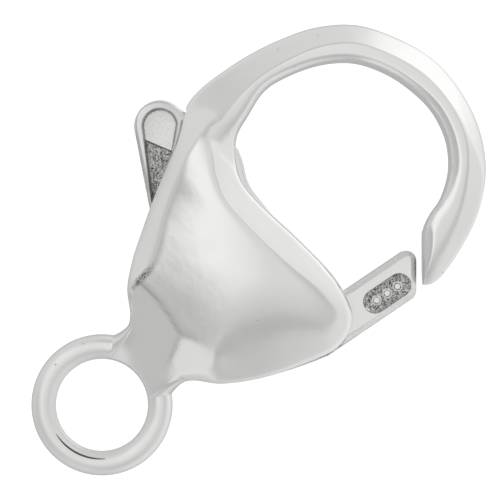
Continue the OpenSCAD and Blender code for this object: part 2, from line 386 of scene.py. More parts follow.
def curve_through(rows, place):
    """The row at a place on a smooth curve through rows of equal length, one row a place."""
    last = len(rows) - 1
    i = max(0, min(math.floor(place), last - 1))
    f = place - i
    a, b = rows[max(i - 1, 0)], rows[i]
    c, d = rows[i + 1], rows[min(i + 2, last)]
    row = []
    for p, q, r, s in zip(a, b, c, d):
        square, cube = 2 * p - 5 * q + 4 * r - s, 3 * q - p - 3 * r + s
        row.append((2 * q + (r - p) * f + square * f ** 2 + cube * f ** 3) / 2)
    return row


def between_rows(table, place):
    """A row of the table at any place, straight between the rows that are given."""
    for low, high in zip(table, table[1:]):
        if place <= high[0]:
            break
    f = (place - low[0]) / (high[0] - low[0])
    return [a + (b - a) * f for a, b in zip(low[1:], high[1:])]


def table_at(table, place):
    """A row of the table at any place, run smoothly past the rows that are given."""
    base = math.floor(place)
    f = place - base
    weights = ((1 - f) ** 3, 3 * f ** 3 - 6 * f ** 2 + 4, 1 + 3 * (f + f ** 2 - f ** 3), f ** 3)
    mixed = [0.0] * (len(table[0]) - 1)
    for weight, near in zip(weights, range(base - 1, base + 3)):
        for k, value in enumerate(between_rows(table, near)):
            mixed[k] += weight * value / 6
    return mixed


def plan_sections():
    """The back and front point of each section, in mm."""
    rows = [
        (bx * BODY_LEN, by * BODY_HALF_W, fx * BODY_LEN, fy * BODY_HALF_W)
        for bx, by, fx, fy in BODY_SECTIONS
    ]
    middle = BODY_LEN + HOOK_REACH
    for out_deg, in_deg, in_r, bar in HOOK_SECTIONS:
        inner = HOOK_IN_R * in_r
        outer = inner + HOOK_W * bar
        out_way, in_way = math.radians(out_deg), math.radians(in_deg)
        rows.append((
            middle + outer * math.cos(out_way), outer * math.sin(out_way),
            middle + inner * math.cos(in_way), inner * math.sin(in_way),
        ))
    return rows


SECTIONS = plan_sections()
ROOT_SECTION = len(BODY_SECTIONS) - 1
LAST_SECTION = len(SECTIONS) - 1
EDGE_STEPS = 12


def plan_edges():
    """Many points along the back edge and the front edge, each with its place."""
    places = [k / EDGE_STEPS for k in range(EDGE_STEPS * LAST_SECTION + 1)]
    spots = [curve_through(SECTIONS, place) for place in places]
    return [
        [(place, Vector(spot[k:k + 2])) for place, spot in zip(places, spots)]
        for k in (0, 2)
    ]


EDGES = plan_edges()
# How many sections away an edge is still looked for.
EDGE_REACH = 3


def to_edge(edge, place, spot):
    """How far a spot is from the edge, and the place that it is nearest to."""
    low = max(int((place - EDGE_REACH) * EDGE_STEPS), 0)
    high = min(int((place + EDGE_REACH) * EDGE_STEPS), len(edge) - 1)
    near = min(range(low, high + 1), key=lambda k: (edge[k][1] - spot).length_squared)
    best = None
    for k in (near - 1, near):
        if low <= k < high:
            (place_a, a), (place_b, b) = edge[k], edge[k + 1]
            f = max(0, (spot - a).dot(b - a) / (b - a).length_squared)
            # The edge runs straight on past the hook's end.
            if k < len(edge) - 2:
                f = min(1, f)
            away = (a.lerp(b, f) - spot).length
            if best is None or away < best[0]:
                best = (away, place_a + (place_b - place_a) * f)
    return best


def plane_height(plane, spot):
    height, along_x, along_y = plane
    return height + along_x * (spot.x - PLANE_X) + along_y * spot.y


def crevice_at(apart, run, shown):
    """How much painted shade a crevice takes, from 0 to 1: the surfaces' distance in height, and where it
    shows.
    """
    start, fade = shown
    return clamped(1 - abs(apart) / CREVICE) ** 1.5 * clamped((run - start) / fade)


def neck_height(place, away, spot, height):
    """The side face with the neck's plate and flank cut into it, and how much painted shade its crevices
    take.
    """
    plate, flank = plane_height(NECK_PLATE, spot), plane_height(NECK_FLANK, spot)
    neck = soft_min(plate, flank, NECK_TURN)
    crevice_shade = crevice_at(neck - height, away, DOME_CREVICE)
    if neck < height:
        line = crevice_at(plate - flank, place, FLANK_CREVICE)
        crevice_shade = max(crevice_shade, FLANK_CREVICE_SHARE * line)
    return soft_min(height, neck, NECK_TURN), crevice_shade


def face_height(place, share, breadth, spot):
    """Height of the side face over the middle plane, and how much painted crevice shade it takes, from 0 to
    1.
    """
    crest, crest_at, back_bow, front_bow, *_, turn = table_at(FACE_FORM, place)
    bow = back_bow if share < crest_at else front_bow
    height = crest - bow / 2 * ((share - crest_at) * breadth) ** 2
    crevice_shade = 0.0
    for edge, columns in zip(EDGES, RIM_COLUMNS):
        away, edge_place = to_edge(edge, place, spot)
        row = table_at(FACE_FORM, edge_place)
        rim, rise = (row[k] for k in columns)
        rounded = EDGE_ROUND[0] * math.exp(-away / EDGE_ROUND[1])
        if edge is EDGES[1] and place < NECK_LAST:
            height, crevice_shade = neck_height(place, away, spot, height)
            turn += FLANK_TURN * clamped((NECK_LAST - place) / FLANK_FADE)
        height = soft_min(height, rim + rise * away - rounded, turn)
        if edge is EDGES[0] and place > OUTER_STARTS:
            lift = OUTER_LIFT * max(edge_place - OUTER_LEAVES, 0)
            height = soft_min(height, OUTER_RIM + lift + OUTER_RISE * away - rounded, OUTER_TURN)
    return height, crevice_shade


# Where the columns stand across the face, as shares of the breadth from the back edge.
COLUMN_SHARES = [
    (1 - EDGE_CROWD) * k / FACE_STEPS + EDGE_CROWD / 2 * (1 - math.cos(math.pi * k / FACE_STEPS))
    for k in range(FACE_STEPS + 1)
]


def wall_points(edge, way, top, soft):
    """Up a wall to its rim: straight, or round as a wire where soft is 1."""
    straight = SOFT_FROM_LEVEL
    points = []
    for k, level in enumerate(WALL_LEVELS):
        turn = math.pi / 2 * max(k - straight, 0) / (len(WALL_LEVELS) - straight)
        low = (top - SOFT_R) * min(k, straight) / straight
        spot = edge + way * SOFT_R * (1 - math.cos(turn))
        rounded = Vector((*spot, low + SOFT_R * math.sin(turn)))
        points.append(Vector((*edge, level * top)).lerp(rounded, soft))
    return points


def row_points(place):
    """One row: up the back edge's wall, over the side face, and down the front edge's wall."""
    bx, by, fx, fy = curve_through(SECTIONS, place)
    back, front = Vector((bx, by)), Vector((fx, fy))
    breadth = (front - back).length
    bow = EYE_BOW * max(0, 1 - place / BOW_GONE) ** 1.5
    soft = clamped(1 - place / SOFT_GONE)
    inset = SOFT_R * soft / breadth
    face, crevice_shades = [], []
    for column_share in COLUMN_SHARES:
        share = inset + (1 - 2 * inset) * column_share
        spot = back + (front - back) * share
        spot.x += bow * (1 - (2 * share - 1) ** 2)
        height, crevice_shade = face_height(place, share, breadth, spot)
        face.append(Vector((*spot, height)))
        crevice_shades.append(crevice_shade)
    inward = (front - back) / breadth
    back_wall = wall_points(back, inward, face[0].z, soft)
    front_wall = wall_points(front, -inward, face[-1].z, soft)
    flat = [0.0] * len(WALL_LEVELS)
    return back_wall + face + front_wall[::-1], flat + crevice_shades + flat


def row_places():
    places = []
    place = FIRST_PLACE
    while place < LAST_SECTION - LAST_GAP:
        places.append(place)
        place += CLOSE_STEP if place < CLOSE_TO_PLACE else ROW_STEP
    return places + [LAST_SECTION]


def round_eye(spot):
    """Where a spot of the eye lies, in degrees: round the eye, and round its wire from outside."""
    out = math.hypot(spot.x, spot.y) - EYE_MIDDLE_R * MM
    return math.degrees(math.atan2(spot.y, spot.x)), math.degrees(math.atan2(spot.z, out))


def number_edge(mesh):
    """Selects the eye's open edge at the neck, and numbers its points as a row's are."""
    column = mesh.verts.layers.int["column"]
    walls = len(WALL_LEVELS)
    last = 2 * walls + FACE_STEPS
    eye_step = 360 / EYE_SEGMENTS
    wire_step = 360 / WIRE_SEGMENTS
    for edge in mesh.edges:
        edge.select = edge.is_boundary and max(v.co.z for v in edge.verts) > OFF_PLANE * MM
        for vert in edge.verts if edge.select else ():
            turn, rise = round_eye(vert.co)
            if rise > JOIN_DEG - wire_step / 2:
                vert[column] = walls + round((NECK_HALF_DEG - turn) / eye_step)
            else:
                up_wall = round(rise / wire_step)
                vert[column] = last - up_wall if turn < 0 else up_wall


def half_eye():
    """Upper half of the eye's round wire, open where the neck grows out of it."""
    bpy.ops.mesh.primitive_torus_add(
        major_segments=EYE_SEGMENTS, minor_segments=WIRE_SEGMENTS,
        major_radius=EYE_MIDDLE_R * MM, minor_radius=EYE_WIRE_R * WIRE_SWELL * MM,
    )
    piece = name_new("silver_body")
    edit(piece, "SELECT")
    bpy.ops.mesh.bisect(
        plane_co=(0, 0, 0), plane_no=(0, 0, 1), clear_inner=True, threshold=HALVED_WITHIN * MM,
    )
    mesh = bmesh.from_edit_mesh(piece.data)
    mesh.verts.layers.int.new("column")
    mesh.verts.layers.float.new("crevice_shade")
    bpy.ops.mesh.select_all(action="DESELECT")
    bpy.ops.mesh.select_mode(type="FACE")
    for face in mesh.faces:
        turn, rise = round_eye(face.calc_center_median())
        face.select = abs(turn) < NECK_HALF_DEG and rise < JOIN_DEG
    bmesh.update_edit_mesh(piece.data)
    bpy.ops.mesh.delete(type="FACE")
    bpy.ops.mesh.select_mode(type="EDGE")
    number_edge(bmesh.from_edit_mesh(piece.data))
    bmesh.update_edit_mesh(piece.data)
    return piece


def extrude_row(piece, points, crevice_shades=None):
    """Extrudes the selected edge to a row of points, each with its column's number."""
    bpy.ops.mesh.extrude_region_move()
    mesh = bmesh.from_edit_mesh(piece.data)
    column = mesh.verts.layers.int["column"]
    crevice_shade = mesh.verts.layers.float["crevice_shade"]
    for vert in mesh.verts:
        if vert.select:
            vert.co = points[vert[column]]
            vert[crevice_shade] = crevice_shades[vert[column]] if crevice_shades else 0.0
    bmesh.update_edit_mesh(piece.data, loop_triangles=False, destructive=False)


def selected_points(piece):
    """Where the selected points are, by column."""
    mesh = bmesh.from_edit_mesh(piece.data)
    column = mesh.verts.layers.int["column"]
    return {vert[column]: vert.co.copy() for vert in mesh.verts if vert.select}


def cut_fold(piece):
    """Cuts the fold into the eye's wire, and marks it for painted crevice shade."""
    height = math.sqrt(EYE_WIRE_R ** 2 - (EYE_MIDDLE_R - FOLD_R) ** 2)
    path = [Vector((*spot, height)) for spot in arc((0, 0), FOLD_R, *FOLD_ARC_DEG, FOLD_STEPS)]
    rings = []
    for k, spot in enumerate(path):
        out_way = Vector((spot.x, spot.y, 0)).normalized()
        up_way = Vector((0, 0, FOLD_DEEPER))
        half_turn = math.pi * (k + FOLD_END) / (FOLD_STEPS + 2 * FOLD_END)
        size = FOLD_HALF_W * math.sin(half_turn) ** 0.5
        turns = [math.radians(360 * j / FOLD_SIDES) for j in range(FOLD_SIDES)]
        rings.append([spot + size * (out_way * math.cos(t) + up_way * math.sin(t)) for t in turns])
    cut_away(piece, stack("fold_cutter", rings))
    crevice_shade = piece.data.attributes["crevice_shade"].data
    for k, vert in enumerate(piece.data.vertices):
        spot = vert.co / MM
        if spot.x < 0 < spot.z and min((spot - p).length for p in path) < FOLD_REACH:
            sunk = EYE_WIRE_R - math.hypot(math.hypot(spot.x, spot.y) - EYE_MIDDLE_R, spot.z)
            crevice_shade[k].value = FOLD_SHADE if sunk > FOLD_SUNK else 0.0


def slot_cutter():
    """A block as high as the slot, from its floor at the eye's side to the hook's root."""
    jaw_x, jaw_y = SECTIONS[ROOT_SECTION][2:]
    far = 2 * BODY_HALF_W
    outline = [
        (SLOT_FLOOR_X, -far), (jaw_x, -far), (jaw_x, jaw_y),
        (SLOT_END_X, SLOT_STEP_Y), (SLOT_END_X, far), (SLOT_FLOOR_X, far),
    ]
    return stack("slot_cutter", levels(outline, ((0, -SLOT_HALF), (0, SLOT_HALF))))


def build_body():
    """Eye, body and hook in one: rows from the eye's open edge to the hook's end, mirrored."""
    piece = half_eye()
    joint = selected_points(piece)
    for k, place in enumerate(row_places()):
        points, crevice_shades = row_points(place)
        points = [spot * MM for spot in points]
        f = min((k + 1) / JOIN_ROWS, 1)
        f = f * f * (3 - 2 * f)
        if f < 1:
            points = [joint[j].lerp(points[j], f) for j in range(len(points))]
        extrude_row(piece, points, crevice_shades)
    before = [spot * MM for spot in row_points(LAST_SECTION - END_LOOK_BACK)[0]]
    middle = (points[0] + points[-1]) / 2
    out_way = (middle - (before[0] + before[-1]) / 2).normalized()
    for size, out in END_STEPS:
        extrude_row(piece, [middle + (spot - middle) * size + out_way * out * MM for spot in points])
    bpy.ops.mesh.edge_face_add()
    close_up()
    across = (False, False, True)
    add_modifier(piece, "MIRROR", use_axis=across, merge_threshold=MERGED_WITHIN * MM)
    add_modifier(piece, "SUBSURF", levels=1, render_levels=1)
    cut_away(piece, slot_cutter())
    hole = pivot_cylinder("pin_hole_cutter", PIN_R + PIN_SEAT_GAP, -2 * HALF_DEPTH, PIN_HOLE_TOP)
    cut_away(piece, hole)
    cut_fold(piece)
    smooth(piece, BODY_SHARP_DEG)
    return piece


# Lever, seen from the side face
HUB_R = 1.5
# The heel stands proud by this much from its fourth step on, and its edge is darkened with painted shadow up
# to this X.
HEEL_PROUD = 0.06
HEEL_TAPER_STEPS = 4
HEEL_DARK_TO_X = 6.4
JAW_PROUD = 0.18
# How far the jaw's lip swells, as shares of JAW_PROUD along LIP_RUN.
LIP_SWELL = (0, 0.12, 0.25, 0.38, 0.5, 0.62, 0.75, 0.88, 1, 0.85, 0.4)
# The stretches of the body's front edge that heel and lip follow, in places.
HEEL_RUN = (4.05, 6.9)
LIP_RUN = (9.6, 11.75)
RUN_STEPS = 10
RUN_AHEAD = 0.02
# From the heel's end the outline turns in and runs inside the body to the lip, through these
# points, in shares of HUB_R from the pivot.
THROAT = ((0.9, -0.4), (1.12, -0.2))
HUB_ARC_DEG = (168, 252)
HUB_STEPS = 10
TAB_CENTRE = (6.90, 4.50)
TAB_R = 0.745
TAB_RIM = 0.25
TAB_ARC_DEG = (0, 150)
TAB_STEPS = 20
TAB_FOOT_PLACE = 5.7
PIN_RUNNING_GAP = 0.03
# The gate leans by some degrees. It stands off the hook's end by a gap, at a share of the bar.
GATE_W = 1.29
GATE_LEAN = 11
GATE_GAP = 0.24
GATE_MEETS = 0.71
HALF_T = LEVER_T / 2

# Growth and height of the lever's rounded-off face edges.
BLANK_STEPS = (
    (-0.11, -HALF_T), (-0.05, 0.02 - HALF_T), (-0.014, 0.055 - HALF_T), (0, 0.11 - HALF_T),
    (0, HALF_T - 0.11), (-0.014, HALF_T - 0.055), (-0.05, HALF_T - 0.02), (-0.11, HALF_T),
)
# The gate has a flat bevel in place of a round.
GATE_STEPS = (
    (-0.17, -HALF_T), (-0.155, 0.012 - HALF_T), (-0.02, 0.14 - HALF_T), (0, 0.18 - HALF_T),
    (0, HALF_T - 0.18), (-0.02, HALF_T - 0.14), (-0.155, HALF_T - 0.012), (-0.17, HALF_T),
)
# The gate from the middle of its end, in shares of its breadth, and its root in the lever.
GATE_OUTLINE = [
    (-1.55, -0.5), (-0.42, -0.5), (-0.35, -0.47), (-0.28, -0.41), (0.10, 0.15), (0.135, 0.22),
    (0.145, 0.30), (0.12, 0.39), (0.06, 0.46), (-0.05, 0.5), (-1.55, 0.5),
]
GATE_ROOT = [(-2.25, 0.5), (-2.75, -0.5)]

# A sunk oval on the gate holds three plain pips. Their steps are growth and height too.
SUNK_AT = (-0.85, -0.08)
SUNK_LEN = 1.5
SUNK_W = 0.66
SUNK_DEPTH = 0.08
SUNK_END_STEPS = 14
SUNK_STEPS = (
    (-0.05, HALF_T - SUNK_DEPTH), (-0.012, HALF_T - SUNK_DEPTH + 0.012),
    (0, HALF_T - 0.03), (0.02, HALF_T), (0.05, HALF_T + 0.1),
)
PIP_SPACING = 0.36
PIP_R = 0.13
PIP_SIDES = 12
PIP_STEPS = (
    (0.03, HALF_T - SUNK_DEPTH - 0.05), (0.02, HALF_T - SUNK_DEPTH + 0.01),
    (-0.02, HALF_T - 0.035), (-0.05, HALF_T - 0.03),
)

# The tab's pocket is shallow at the crown and deep below a ledge.
POCKET_SHALLOW = 0.22
POCKET_DEEP = 0.40
POCKET_ARC_DEG = (-37, 150)
# Its sides at the crown, as shares of the crown's inner radius, and its two corners at the
# foot, as shares of the rim from the foot.
POCKET_SIDES = ((-0.86, 0.5), (0.8, -0.6))
POCKET_CORNERS = ((0.8, 0.4), (1.6, -0.6))
# Where the ledge meets the pocket's left and right side, as shares from the crown down.
LEDGE_SHARES = (0.12, 0.34)
# Growth and height of its rounded foot over its floor, and of its mouth over the lever's face.
POCKET_FOOT = ((-0.09, 0), (-0.035, 0.02), (0, 0.07))
POCKET_MOUTH = ((0, -0.06), (0.02, -0.015), (0.07, 0.02))

# How rough the lever's surfaces are and how dark they are painted, from 0 to 1: tarnish, but painted shade
# on the deep floor, the gate's lower bevel and the heel's edge.
# The deep floor is rough as cast; its darkness is painted shadow deep in the pocket.
DEEP_FLOOR_SHADED = (1.0, 0.75)
LEDGE = (0.9, 0.1)
POCKET_WALL = (0.6, 0.45)
SUNK_FLOOR = (0.9, 0.85)
GATE_FACE = (0.5, 0.0)
# The gate's lower bevel faces down, and its darkness is painted shade.
LOWER_BEVEL_SHADED = (0.4, 0.22)
GATE_SIDE = (0.5, 0.05)
TAB_SIDE = (1.0, 0.3)
# The heel's edge under the body's edge is darkened with painted shadow.
HEEL_EDGE_SHADED = (0.3, 0.6)
POLISHED = (0.0, 0.0)

# A face is level, or a side, by how much of its normal runs along Z.
LEVEL_FROM = 0.85
SIDE_TO = 0.5
# How deep under the lever's face each surface starts.
DEEP_FROM = 0.3
LEDGE_FROM = 0.15
WALL_FROM = 0.02
OVAL_FROM = 0.03
# The tab starts at this Y, and its deep floor ends this far from the crown's middle.
TAB_FROM_Y = 2.7
DEEP_TO_R = 2.6
# The lever's sides towards the hook lie beyond this X and Y.
TAB_SIDE_FROM = (7.2, 0.3)
# The gate's lower bevel faces down at least this much along Y.
BEVEL_FACES = -0.2
# Half the pocket's breadth, and how far its wall leans out at the crown.
POCKET_HALF_W = 0.55
POCKET_LEAN = 0.03


def front_proud(place, proud):
    """A point of the body's front edge, moved out from the body."""
    spot = Vector(curve_through(SECTIONS, place)[2:])
    ahead = Vector(curve_through(SECTIONS, place + RUN_AHEAD)[2:])
    along = (ahead - spot).normalized()
    return spot + proud * Vector((along.y, -along.x))


def front_run(run, prouds):
    """Points along a stretch of the body's front edge, each moved out by its own amount."""
    first, last = run
    return [front_proud(first + (last - first) * k / RUN_STEPS, p) for k, p in enumerate(prouds)]


def tab_ends():
    """The middle of the tab's crown, and its foot on the body's back edge."""
    return Vector(TAB_CENTRE), Vector(curve_through(SECTIONS, TAB_FOOT_PLACE)[:2])


def lever_outline():
    """The whole lever but the gate, anticlockwise from the tab's crown."""
    heel = [HEEL_PROUD * min(k / HEEL_TAPER_STEPS, 1) for k in range(RUN_STEPS + 1)]
    lip = [JAW_PROUD * swell for swell in LIP_SWELL]
    return [
        *arc(TAB_CENTRE, TAB_R, *TAB_ARC_DEG, TAB_STEPS),
        tab_ends()[1],
        *arc((PIVOT_X, 0), HUB_R, *HUB_ARC_DEG, HUB_STEPS),
        *front_run(HEEL_RUN, heel),
        front_proud(HEEL_RUN[1], -GATE_W / 3),
        *((PIVOT_X + HUB_R * x, HUB_R * y) for x, y in THROAT),
        *front_run(LIP_RUN, lip),
    ]


def at_gate(outline):
    """An outline in shares of the gate's breadth, put where the gate is."""
    x, y, inner_x, inner_y = curve_through(SECTIONS, LAST_SECTION)
    inner, outer = Vector((inner_x, inner_y)), Vector((x, y))
    end_way = (outer - inner).normalized()
    end = inner + GATE_MEETS * (outer - inner) + GATE_GAP * Vector((end_way.y, -end_way.x))
    cos, sin = math.cos(math.radians(GATE_LEAN)), math.sin(math.radians(GATE_LEAN))
    return [
        (end.x + GATE_W * (u * cos + v * sin), end.y + GATE_W * (v * cos - u * sin))
        for u, v in outline
    ]


def sunk_cutter():
    """The gate's sunk oval, with its pips left standing in it."""
    run, end_r = (SUNK_LEN - SUNK_W) / 2 / GATE_W, SUNK_W / 2 / GATE_W
    u, v = SUNK_AT
    oval = arc((u + run, v), end_r, -90, 90, SUNK_END_STEPS)
    oval += arc((u - run, v), end_r, 90, 270, SUNK_END_STEPS)
    cutter = stack("sunk_oval", levels(at_gate(oval), SUNK_STEPS))
    for k in (-1, 0, 1):
        last_deg = 360 - 360 / PIP_SIDES
        pip = arc((u + k * PIP_SPACING / GATE_W, v), PIP_R / GATE_W, 0, last_deg, PIP_SIDES - 1)
        cut_away(cutter, stack("pip", levels(at_gate(pip), PIP_STEPS)))
    return cutter


def pocket_cutters():
    """Pockets in both faces of the tab, deeper from a ledge down to the foot."""
    centre, foot = tab_ends()
    inner_r = TAB_R - TAB_RIM
    left, right = (centre + inner_r * Vector(side) for side in POCKET_SIDES)
    tip, under = (foot + TAB_RIM * Vector(corner) for corner in POCKET_CORNERS)
    whole = [*arc(centre, inner_r, *POCKET_ARC_DEG, TAB_STEPS), tip, under]
    ledge_left = left + LEDGE_SHARES[0] * (tip - left)
    ledge_right = right + LEDGE_SHARES[1] * (under - right)
    deep = [ledge_left, tip, under, ledge_right]
    cutters = []
    for side in (-1, 1):
        for outline, depth in ((whole, POCKET_SHALLOW), (deep, POCKET_DEEP)):
            steps = [(growth, HALF_T - depth + height) for growth, height in POCKET_FOOT]
            steps += [(growth, HALF_T + height) for growth, height in POCKET_MOUTH]
            rings = levels(outline, steps)
            turned = [[(x, y, side * z) for x, y, z in ring] for ring in rings]
            cutters.append(stack("pocket", turned))
    return cutters


def in_pocket(x, y):
    """Whether a spot lies inside the tab's rim."""
    centre, foot = tab_ends()
    offset = Vector((x, y)) - centre
    along = (foot - centre).normalized()
    off = abs(along.x * offset.y - along.y * offset.x)
    at_crown = offset.length < TAB_R - TAB_RIM + POCKET_LEAN
    return at_crown or (offset.dot(along) > 0 and off < POCKET_HALF_W)


def grain_patina_and_shade_of(spot, normal):
    """How rough a face of the lever is and how dark it is painted, with tarnish or painted shade, by its
    place and the way it faces.
    """
    x, y, z = spot
    sunk = HALF_T - abs(z)
    level = abs(normal.z) > LEVEL_FROM
    on_tab = y > TAB_FROM_Y
    on_gate = x > BODY_LEN and y < 0
    if on_tab and level and sunk > DEEP_FROM and math.dist((x, y), TAB_CENTRE) < DEEP_TO_R:
        return DEEP_FLOOR_SHADED
    if on_tab and level and sunk > LEDGE_FROM:
        return LEDGE
    if on_tab and not level and WALL_FROM < sunk < POCKET_DEEP and in_pocket(x, y):
        return POCKET_WALL
    if on_gate and level:
        return SUNK_FLOOR if sunk > OVAL_FROM and z > 0 else GATE_FACE
    if x > HEEL_DARK_TO_X and y < 0 and normal.y < BEVEL_FACES:
        return LOWER_BEVEL_SHADED
    if on_gate:
        return GATE_SIDE
    if abs(normal.z) < SIDE_TO and x > TAB_SIDE_FROM[0] and y > TAB_SIDE_FROM[1]:
        return TAB_SIDE
    if y < -HUB_R and x < HEEL_DARK_TO_X and not level:
        return HEEL_EDGE_SHADED
    return POLISHED


def mark_grain_patina_and_shade(piece):
    """Marks each face with how rough it is and how dark, with tarnish or painted shade."""
    grain = piece.data.attributes.new("grain", "FLOAT", "FACE")
    patina_and_shade = piece.data.attributes.new("patina_and_shade", "FLOAT", "FACE")
    for k, face in enumerate(piece.data.polygons):
        grain.data[k].value, patina_and_shade.data[k].value = grain_patina_and_shade_of(face.center / MM, face.normal)


def build_lever():
    """Tab, hub, heel, lip and gate in one, with pockets, a sunk oval and the pin's hole."""
    piece = stack("silver_lever", levels(lever_outline(), BLANK_STEPS))
    gate = stack("gate", levels(at_gate(GATE_OUTLINE + GATE_ROOT), GATE_STEPS))
    join_solids(piece, gate, "UNION")
    for cutter in (*pocket_cutters(), sunk_cutter()):
        cut_away(piece, cutter)
    cut_away(piece, pivot_cylinder("lever_hole", PIN_R + PIN_RUNNING_GAP, -LEVER_T, LEVER_T))
    mark_grain_patina_and_shade(piece)
    smooth(piece, LEVER_SHARP_DEG)
    return piece


# Pivot pin
PIN_LOW = -1.98
PIN_TOP = 1.5
PIN_SEGMENTS = 48
PIN_ROUND = 0.07
PIN_ROUND_STEPS = 4


def build_pin():
    """A short wire with both ends rounded off."""
    piece = pivot_cylinder("silver_pin", PIN_R, PIN_LOW, PIN_TOP, PIN_SEGMENTS)
    bpy.ops.object.transform_apply()
    mesh = edit(piece)
    bpy.ops.mesh.select_mode(type="FACE")
    for face in mesh.faces:
        face.select = abs(face.normal.z) > LEVEL_FROM
    bmesh.update_edit_mesh(piece.data)
    bpy.ops.mesh.bevel(offset=PIN_ROUND * MM, segments=PIN_ROUND_STEPS)
    bpy.ops.object.mode_set(mode="OBJECT")
    smooth(piece, PIN_SHARP_DEG)
    return piece


# Return spring
SPRING_X = 3.14
SPRING_LOW_Y = -1.0
SPRING_T = 0.16
SPRING_HALF_W = 0.5
SPRING_ROUND = 0.03
SPRING_LEG = 2.3
SPRING_BEND_R = 0.34
SPRING_LEAN = 10
FLOOR_LEG_STEPS = 6
BEND_STEPS = 16
LEVER_LEG_STEPS = 8


def strip_corners(half_t, half_w, round_off):
    """The strip's section with its corners taken off: across its thickness, and its breadth."""
    thin, narrow = half_t - round_off, half_w - round_off
    return [
        (thin, half_w), (half_t, narrow), (half_t, -narrow), (thin, -half_w),
        (-thin, -half_w), (-half_t, -narrow), (-half_t, narrow), (-thin, half_w),
    ]


def build_spring():
    """A V of strip: a leg on the slot's floor, a bend below, and a leg against the lever."""
    half_t = SPRING_T / 2
    lean = math.radians(SPRING_LEAN)
    path = [
        (SPRING_X + half_t, SPRING_LOW_Y + SPRING_LEG * k / FLOOR_LEG_STEPS)
        for k in range(FLOOR_LEG_STEPS, 0, -1)
    ]
    bend = (SPRING_X + SPRING_BEND_R, SPRING_LOW_Y)
    path += arc(bend, SPRING_BEND_R - half_t, 180, 360, BEND_STEPS)
    end_x, end_y = path[-1]
    for k in range(1, LEVER_LEG_STEPS + 1):
        run = SPRING_LEG * k / LEVER_LEG_STEPS
        path.append((end_x + run * math.sin(lean), end_y + run * math.cos(lean)))
    rings = []
    for k, spot in enumerate(path):
        before, after = Vector(path[max(k - 1, 0)]), Vector(path[min(k + 1, len(path) - 1)])
        along = (after - before).normalized()
        side = Vector((along.y, -along.x))
        corners = strip_corners(half_t, SPRING_HALF_W, SPRING_ROUND)
        rings.append([(*(Vector(spot) + side * u), w) for u, w in corners])
    piece = stack("steel_spring", rings)
    smooth(piece, SPRING_SHARP_DEG)
    return piece


def linear(colour):
    """An sRGB hex value as the linear colour that a node takes."""
    parts = [int(colour[i:i + 2], 16) / 255 for i in (0, 2, 4)]
    return (*[p / 12.92 if p <= 0.04045 else ((p + 0.055) / 1.055) ** 2.4 for p in parts], 1)


def empty_tree(owner):
    """The node tree of a material or a world, with nothing in it."""
    owner.use_nodes = True
    owner.node_tree.nodes.clear()
    return owner.node_tree


def add_node(tree, kind, inputs=(), output=0, **settings):
    """Adds a node, sets or links its inputs by number or name, and gives one of its outputs."""
    node = tree.nodes.new("ShaderNode" + kind)
    for name, value in settings.items():
        setattr(node, name, value)
    pairs = inputs.items() if isinstance(inputs, dict) else enumerate(inputs)
    for socket, value in pairs:
        if isinstance(value, bpy.types.NodeSocket):
            tree.links.new(value, node.inputs[socket])
        else:
            node.inputs[socket].default_value = value
    return node.outputs[output] if len(node.outputs) else None


# A soft step goes from one size to another between two ends of the value that it follows.
SOFT_STEP = {"interpolation_type": "SMOOTHSTEP"}


def through_steps(tree, operation, value, steps):
    """A value multiplied by, or added to, soft steps: followed value, its ends, size at each."""
    for step in steps:
        soft = add_node(tree, "MapRange", step, **SOFT_STEP)
        value = add_node(tree, "Math", (value, soft), operation=operation)
    return value


def weighted_sum(tree, parts):
    """Values times their weights, added up."""
    total = 0.0
    for value, weight in parts:
        part = add_node(tree, "Math", (value, weight), operation="MULTIPLY")
        total = add_node(tree, "Math", (total, part), operation="ADD")
    return total


# The metal's patterns, by size in mm: fine and coarse cast grit, drawn coarse enough to show,
# the slow waves that hand polishing leaves, and about how far it is from pit to pit.
FINE_GRIT = 1 / 26
COARSE_GRIT = 1 / 9
POLISH_WAVE = 1 / 1.1
PIT_SPACING = 1 / 1.3
# A pit is full up to the first share of that distance from its middle, and gone at the second.
PIT_EDGES = (0.02, 0.05)
# Soft steps of haze, and of tarnish with its painted shade: two ends of a noise, or of a place in mm, and
# the size at each.
# How much haze there is at the ends of its noise is each metal's own.
HAZE_NOISE = (0.3, 0.7)
FINE_BLOTCH = (0.38, 0.62, 0.35, 1.15)
COARSE_BLOTCH = (0.3, 0.7, 0.7, 1.2)
EYE_HAZE_X = (0.9, 1.7, 0.25, 0.0)
# Fingers dull the tab's rim: above this Y, up to this X, no higher than the lever's face, and
# not where the metal is left rough.
RUBBED_Y = (2.9, 3.5, 0.0, 0.16)
RUBBED_X = (7.6, 7.8, 1.0, 0.0)
RUBBED_Z = (0.66, 0.7, 1.0, 0.0)
RUBBED_GRAIN = (0.0, 0.5, 1.0, 0.0)

# How high each pattern stands, in mm.
GRIT_HEIGHT = 0.013
STREAK_AND_CREVICE_GRIT_HEIGHT = 0.008
WAVE_HEIGHT = 0.012
PIT_DEPTH = 0.012

# How much of the tarnish colour crevices take as painted shade and pits take as tarnish, and what roughness
# grain and tarnish with its painted shade add.
CREVICE_DARK = 0.36
PIT_DARK = 0.4
GRAIN_ROUGH = 0.14
TARNISH_ROUGH = 0.3

# A dark streak lies along the foot of the back band, in the crevice there: the middle of the streak, and
# half its size.
STREAK_AT = (3.6, 1.76, 1.1)
STREAK_SIZE = (0.72, 0.16, 0.8)
STREAK_FADE = (0.2, 1.0, 1.0, 0.0)


